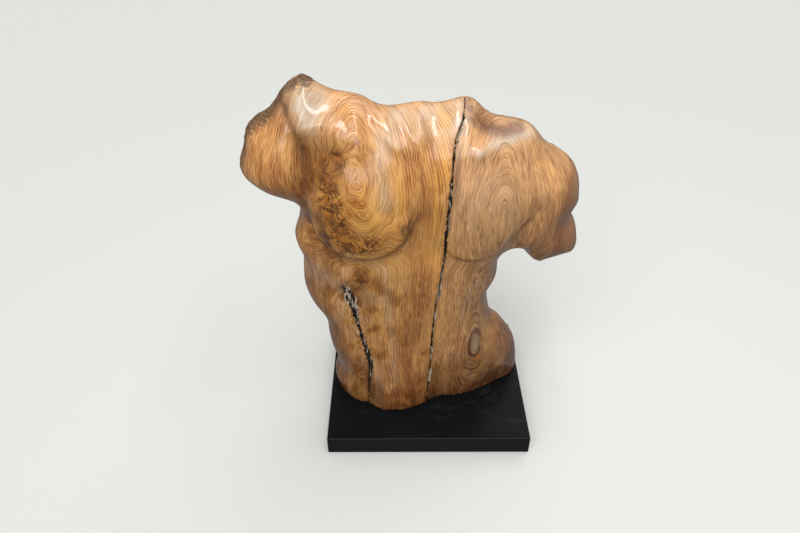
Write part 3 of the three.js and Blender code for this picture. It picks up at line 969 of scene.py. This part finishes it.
def grown_wood(g, settings, grain, patches):
    """Early and late wood, by ring, fibre and streak. Returns the colour and the share of late wood."""
    early, late = tuple(settings.light_wood), tuple(settings.dark_wood)
    for name, (early_tone, late_tone) in (("gold", GOLDEN), ("rust", RUSTY), ("brown", BROWN)):
        place = g.attribute(name)
        early = g.mix(place, early, early_tone)
        late = g.mix(place, late, late_tone)
    figure = g.attribute("figure")
    rings = g.math("MULTIPLY", grain["Rings"], figure)
    fibres = g.between(grain["Fibres"], 0.40, 0.62, 0.0, 0.62)
    streaks = g.between(grain["Streaks"], 0.38, 0.66, 0.0, 0.55)
    share = g.math("ADD", rings, g.math("ADD", fibres, streaks), clamp=True)
    colour = g.mix(share, early, late)
    colour = g.mix(g.between(patches["Broad"], 0.45, 0.68, 0.0, 0.55), colour, late)
    colour = g.mix(g.between(patches["Broad"], 0.5, 0.3, 0.0, 0.5), colour, HONEY)
    colour = g.mix(g.between(patches["Middle"], 0.52, 0.7, 0.0, 0.6), colour, late)
    colour = g.mix(g.between(patches["Middle"], 0.46, 0.3, 0.0, 0.42), colour, PALE_HONEY)
    seams = g.math("MULTIPLY", grain["Seams"], g.math("MULTIPLY_ADD", figure, 0.85, 0.24, clamp=True))
    colour = g.mix(seams, colour, RING_SEAM)
    open_grain = g.math("MULTIPLY_ADD", g.attribute("gold"), -0.24, 0.5)
    colour = g.mix(g.math("MULTIPLY", grain["Pores"], open_grain), colour, PORE)
    colour = g.mix(g.math("MULTIPLY", grain["Flecks"], open_grain), colour, FLECK)
    return colour, share


def marked_wood(g, colour, share, position, grain, patches):
    """Lays cream and pale sapwood, the arm's end, painted shade in the hollows, creases and lower parts,
    burl, stains and chips over the grown wood.
    """
    colour = g.mix(g.attribute("cream"), colour, g.mix(share, *CREAMY))
    pale = g.math("MULTIPLY", g.attribute("pale"), g.between(patches["Middle"], 0.3, 0.62, 0.5, 1.0))
    colour = g.mix(g.math("MULTIPLY", pale, 0.9), colour, g.mix(share, *SAPWOOD))
    colour = g.mix(g.math("MULTIPLY", g.attribute("end_band"), 0.58), colour, ARM_END)
    uneven = g.between(patches["Middle"], 0.25, 0.6, 0.6, 1.0)
    # Painted shade, multiplied in over the hollows, creases and lower parts, together with darker wood
    colour = g.mix(g.math("MULTIPLY", g.attribute("dark"), uneven), colour, HOLLOW_SHADE, "MULTIPLY")

    burl = g.attribute("burl")
    curl = g.noise(position, 26.0, 4.0, 0.62, 2.2)
    lines = g.between(g.math("ABSOLUTE", g.math("SUBTRACT", curl, 0.5)), 0.0, 0.05, 1.0, 0.0)
    blots = g.between(g.noise(position, 60.0, 6.0, 0.78, 0.9), 0.49, 0.56)
    marks = g.math("MULTIPLY", g.math("MAXIMUM", lines, blots), 0.85)
    ground = g.math("MULTIPLY", burl, g.between(patches["Middle"], 0.35, 0.6, 0.1, 0.6))
    colour = g.mix(ground, colour, BURL_GROUND)
    colour = g.mix(g.math("MULTIPLY", marks, g.between(burl, 0.15, 0.7)), colour, BURL_MARK)

    # Real stains, with painted shade along the chest's lower edges, the arm crease and the left hip
    stain = g.math("MULTIPLY", g.attribute("stain"), uneven)
    stain = g.math("MULTIPLY", stain, g.between(grain["Fibres"], 0.3, 0.58, 0.7, 1.0))
    colour = g.mix(g.math("MULTIPLY", stain, 0.9), colour, STAIN_AND_SHADE)
    colour = g.mix(g.attribute("chip"), colour, CHIPPED_WOOD)
    return g.mix(1.0, colour, OIL_TINT, "MULTIPLY")


def weathered_wood(g, colour, position, patches):
    """Lays raw wood, and the cracks' walls with painted shade and pale torn fibres, over the rest. Returns
    the colour and how dull it is.
    """
    placed = g.add("ShaderNodeMapping", {
        "Vector": position, "Rotation": SCRATCH_TURN, "Scale": SCRATCH_SCALE}).outputs[0]
    scratches = g.noise(placed, 1.0, 3.0, 0.6)
    worn = g.math("MULTIPLY_ADD", g.math("SUBTRACT", scratches, 0.5), 1.6, g.attribute("raw"))
    raw = g.between(worn, 0.2, 0.75)
    colour = g.mix(
        g.math("MULTIPLY", raw, 0.93), colour, g.mix(g.between(scratches, 0.38, 0.68), *RAW_WOOD))
    # Painted shade on the cracks' walls, broken by pale torn fibres and bark
    crack = g.between(g.math("MULTIPLY_ADD", patches["Fine"], 0.2, g.attribute("crack")), 0.35, 0.6)
    bright = g.between(g.math("MULTIPLY_ADD", patches["Fine"], 0.6, g.attribute("fibres")), 0.4, 0.66)
    colour = g.mix(crack, colour, g.mix(bright, *CRACK_SHADE_AND_FIBRES))
    return colour, g.math("MAXIMUM", raw, crack)


def root_wood(settings):
    """Oiled root wood with rings, fibres and pores, sapwood, burl, stains, a raw rim and cracks, with shade
    painted into its hollows, creases and cracks.
    """
    material, g, shader = new_material("root_wood")
    position = g.add("ShaderNodeTexCoord").outputs["Object"]
    grain = placed_group(g, grain_group(), {
        "Position": position, "Ring": g.attribute("ring"), "Fibre line": g.attribute("fibre_line")})
    patches = placed_group(g, mottling_group(), {"Position": position, "Stretch": (1.0, 1.0, 0.45)})
    colour, share = grown_wood(g, settings, grain, patches)
    colour = marked_wood(g, colour, share, position, grain, patches)
    colour, dull = weathered_wood(g, colour, position, patches)

    oiled = g.between(patches["Middle"], 0.3, 0.7, 0.27, 0.40)
    oiled = g.math("MULTIPLY_ADD", grain["Pores"], 0.2, oiled)
    height = g.math("SUBTRACT", g.math("MULTIPLY", share, -0.25), g.math("MULTIPLY", grain["Pores"], 0.5))
    height = g.math("MULTIPLY_ADD", g.math("MULTIPLY", dull, patches["Fine"]), 3.0, height)
    bump = g.add("ShaderNodeBump", {"Height": height, "Strength": 0.35, "Distance": 0.0004})
    g.feed(shader.inputs["Base Color"], colour)
    g.feed(shader.inputs["Roughness"], g.math("MULTIPLY_ADD", dull, 0.5, oiled, clamp=True))
    g.feed(shader.inputs["Normal"], bump.outputs[0])
    g.feed(shader.inputs["Coat Weight"], g.math("MULTIPLY_ADD", dull, -0.75, 0.75, clamp=True))
    shader.inputs["Coat Roughness"].default_value = 0.15
    shader.inputs["Specular IOR Level"].default_value = 0.2
    return material


# Tones on the lacquer
SMUDGE = (0.034, 0.037, 0.040, 1)
FAINT_GRAIN = (0.009, 0.009, 0.010, 1)
# Painted sheen on the upright sides
PAINTED_SIDE_SHEEN = (0.06, 0.06, 0.064, 1)
# Lighter edges: rubbed lacquer and a painted highlight
RUBBED_EDGE_AND_HIGHLIGHT = (0.06, 0.058, 0.056, 1)
GRAIN_LINES = 210.0  # fibre lines for each metre across the board


def black_lacquer(settings):
    """Satin black lacquer over a faint grain, with wiped smudges on top, painted sheen on the upright sides,
    and edges painted a little lighter as rubbed lacquer with a painted highlight.
    """
    material, g, shader = new_material("black_lacquer")
    position = g.add("ShaderNodeTexCoord").outputs["Object"]
    across = g.math("MULTIPLY", g.add("ShaderNodeSeparateXYZ", {0: position}).outputs[1], GRAIN_LINES)
    along_board = g.add("ShaderNodeMapping", {
        "Vector": position, "Rotation": (0, math.radians(90), 0)}).outputs[0]
    grain = placed_group(g, grain_group(), {"Position": along_board, "Ring": across, "Fibre line": across})
    patches = placed_group(g, mottling_group(), {"Position": position, "Stretch": (1.0, 1.7, 1.0)})
    smudge = g.math(
        "MULTIPLY", g.between(patches["Broad"], 0.5, 0.72), g.between(patches["Middle"], 0.4, 0.66))
    colour = g.mix(g.math("MULTIPLY", smudge, 0.5), tuple(settings.lacquer), SMUDGE)
    colour = g.mix(g.math("MULTIPLY", grain["Fibres"], 0.2), colour, FAINT_GRAIN)
    normal = g.add("ShaderNodeTexCoord").outputs["Normal"]
    facing = g.add("ShaderNodeVectorMath", {0: normal}, operation="ABSOLUTE").outputs[0]
    facing_x, facing_y, facing_z = g.add("ShaderNodeSeparateXYZ", {0: facing}).outputs
    squarest = g.math("MAXIMUM", facing_x, g.math("MAXIMUM", facing_y, facing_z))
    # Painted sheen: the upright sides are lighter
    colour = g.mix(g.between(facing_z, 0.3, 0.1, 0.0, 0.15), colour, PAINTED_SIDE_SHEEN)
    # Edges lighter: rubbed lacquer and a painted highlight
    colour = g.mix(g.between(squarest, 0.985, 0.85, 0.0, 0.4), colour, RUBBED_EDGE_AND_HIGHLIGHT)
    satin = g.between(patches["Middle"], 0.3, 0.7, 0.30, 0.42)
    bump = g.add("ShaderNodeBump", {
        "Height": g.math("MULTIPLY_ADD", patches["Fine"], 0.4, grain["Fibres"]),
        "Strength": 0.12, "Distance": 0.0003})
    g.feed(shader.inputs["Base Color"], colour)
    g.feed(shader.inputs["Roughness"], g.math("MULTIPLY_ADD", smudge, 0.22, satin))
    g.feed(shader.inputs["Normal"], bump.outputs[0])
    shader.inputs["Specular IOR Level"].default_value = 0.08
    return material


# Camera, floor and light

CAMERA_PLACE = (-0.0558, -0.9007, 0.9965)
CAMERA_PITCH = math.radians(37.45)
CAMERA_YAW = math.radians(0.32)
CAMERA_ROLL = math.radians(0.13)
CAMERA_REACH = 50
SENSOR_WIDTH = 36
FOCAL_PIXELS, PICTURE_PIXELS = 667.6, 800
# The floor is a disc that bends up into a low wall all round, in metres.
FLOOR_RADIUS = 5
FLOOR_BEND = 5
FLOOR_SIDES = 64
FLAT_STEPS = 3
BEND_STEPS = 12
# Soft suns: name, the setting of its strength, its spread in degrees and the way it shines
WINDOWS = (
    ("high_window", "sun", 48, (0.30, 0.85, -0.95)),
    ("back_window", "back_light", 40, (-0.35, -0.60, -0.90)),
)
SOFTBOX_WIDTH, SOFTBOX_LENGTH = 0.08, 0.75
SOFTBOX_PLACE = (0.13, -0.20, 1.36)
LOW_SKY, HIGH_SKY = (0.28, 0.28, 0.28, 1), (1.0, 1.0, 0.98, 1)


def place_camera(scene):
    lens = bpy.data.cameras.new("camera")
    lens.sensor_width = SENSOR_WIDTH
    lens.lens = FOCAL_PIXELS / PICTURE_PIXELS * SENSOR_WIDTH
    lens.clip_end = CAMERA_REACH
    camera = bpy.data.objects.new("camera", lens)
    aim = (
        Matrix.Rotation(-CAMERA_YAW, 4, "Z")
        @ Matrix.Rotation(math.pi / 2 - CAMERA_PITCH, 4, "X")
        @ Matrix.Rotation(CAMERA_ROLL, 4, "Z"))
    camera.matrix_world = Matrix.Translation(CAMERA_PLACE) @ aim
    scene.collection.objects.link(camera)
    scene.camera = camera


def floor_mesh():
    """A flat disc of rings of faces that bends up at its rim."""
    sheet = bmesh.new()
    turns = [2 * math.pi * k / FLOOR_SIDES for k in range(FLOOR_SIDES)]
    rings = []
    for step in range(FLAT_STEPS + BEND_STEPS + 1):
        bend = max(0, step - FLAT_STEPS) / BEND_STEPS * math.pi / 2
        radius = FLOOR_RADIUS * min(step, FLAT_STEPS) / FLAT_STEPS + FLOOR_BEND * math.sin(bend)
        height = FLOOR_BEND * (1 - math.cos(bend))
        rings.append([
            sheet.verts.new((radius * math.cos(turn), radius * math.sin(turn), height)) for turn in turns])
    for inner, outer in zip(rings, rings[1:]):
        for k in range(FLOOR_SIDES):
            after = (k + 1) % FLOOR_SIDES
            sheet.faces.new((inner[k], outer[k], outer[after], inner[after]))
    bmesh.ops.remove_doubles(sheet, verts=sheet.verts, dist=WELD)
    mesh = bpy.data.meshes.new("floor")
    sheet.to_mesh(mesh)
    sheet.free()
    mesh.shade_smooth()
    return mesh


def lay_floor(scene, colour):
    """A matt floor that takes the shadows and is not mirrored in the lacquer."""
    floor = bpy.data.objects.new("floor", floor_mesh())
    scene.collection.objects.link(floor)
    material, _, shader = new_material("pale_floor")
    shader.inputs["Base Color"].default_value = colour
    shader.inputs["Roughness"].default_value = 0.9
    shader.inputs["Specular IOR Level"].default_value = 0.1
    floor.data.materials.append(material)
    floor.visible_diffuse = False
    floor.visible_glossy = False
    floor.visible_shadow = False


def light_sky(scene, strength):
    """Even light from above that fades towards the ground."""
    world = bpy.data.worlds.new("studio")
    world.use_nodes = True
    sky = Graph(world.node_tree)
    direction = sky.add("ShaderNodeTexCoord").outputs["Generated"]
    up = sky.add("ShaderNodeSeparateXYZ", {0: direction}).outputs[2]
    background = world.node_tree.nodes["Background"]
    sky.feed(background.inputs["Color"], sky.mix(sky.between(up, -0.1, 0.9), LOW_SKY, HIGH_SKY))
    background.inputs["Strength"].default_value = strength
    scene.world = world


def hang_lights(scene, settings):
    """The two soft suns, and the strip softbox that draws the highlights on the chest."""
    for name, strength, spread, way in WINDOWS:
        sun = bpy.data.lights.new(name, "SUN")
        sun.energy = getattr(settings, strength)
        sun.angle = math.radians(spread)
        window = bpy.data.objects.new(name, sun)
        window.rotation_euler = Vector(way).to_track_quat("-Z", "Y").to_euler()
        scene.collection.objects.link(window)
    strip = bpy.data.lights.new("overhead_softbox", "AREA")
    strip.shape = "RECTANGLE"
    strip.size, strip.size_y = SOFTBOX_WIDTH, SOFTBOX_LENGTH
    strip.energy = settings.softbox_power
    softbox = bpy.data.objects.new("overhead_softbox", strip)
    softbox.location = SOFTBOX_PLACE
    scene.collection.objects.link(softbox)


class SCULPTURE_OT_stage(bpy.types.Operator):
    """Set up the camera, the pale floor and the soft studio light"""

    bl_idname = "sculpture.stage"
    bl_label = "Set stage"

    def execute(self, context):
        settings = context.scene.stage_settings
        place_camera(context.scene)
        lay_floor(context.scene, settings.floor_colour)
        light_sky(context.scene, settings.sky)
        hang_lights(context.scene, settings)
        context.scene.view_settings.view_transform = "Standard"
        return {"FINISHED"}


class SCULPTURE_PT_panel(bpy.types.Panel):
    """Lists the sculpture's pieces"""

    bl_label = "Torso Sculpture"
    bl_idname = "SCULPTURE_PT_panel"
    bl_space_type = "VIEW_3D"
    bl_region_type = "UI"
    bl_category = "Torso"

    def draw(self, context):
        for operator, group in (
            ("sculpture.stage", "stage_settings"),
            ("sculpture.torso", "torso_settings"),
            ("sculpture.plinth", "plinth_settings"),
        ):
            box = self.layout.box()
            box.operator(operator)
            settings = getattr(context.scene, group)
            for name in settings.bl_rna.properties.keys():
                if name not in ("rna_type", "name"):
                    box.prop(settings, name)


CLASSES = (
    TorsoSettings, PlinthSettings, StageSettings,
    SCULPTURE_OT_stage, SCULPTURE_OT_torso, SCULPTURE_OT_plinth, SCULPTURE_PT_panel,
)
SETTINGS = {
    "torso_settings": TorsoSettings, "plinth_settings": PlinthSettings, "stage_settings": StageSettings,
}


def register():
    for cls in CLASSES:
        bpy.utils.register_class(cls)
    for name, group in SETTINGS.items():
        setattr(bpy.types.Scene, name, PointerProperty(type=group))


def unregister():
    for name in SETTINGS:
        delattr(bpy.types.Scene, name)
    for cls in reversed(CLASSES):
        bpy.utils.unregister_class(cls)


def main():
    register()
    bpy.ops.sculpture.stage()
    bpy.ops.sculpture.torso()
    bpy.ops.sculpture.plinth()


if __name__ == "__main__":
    main()
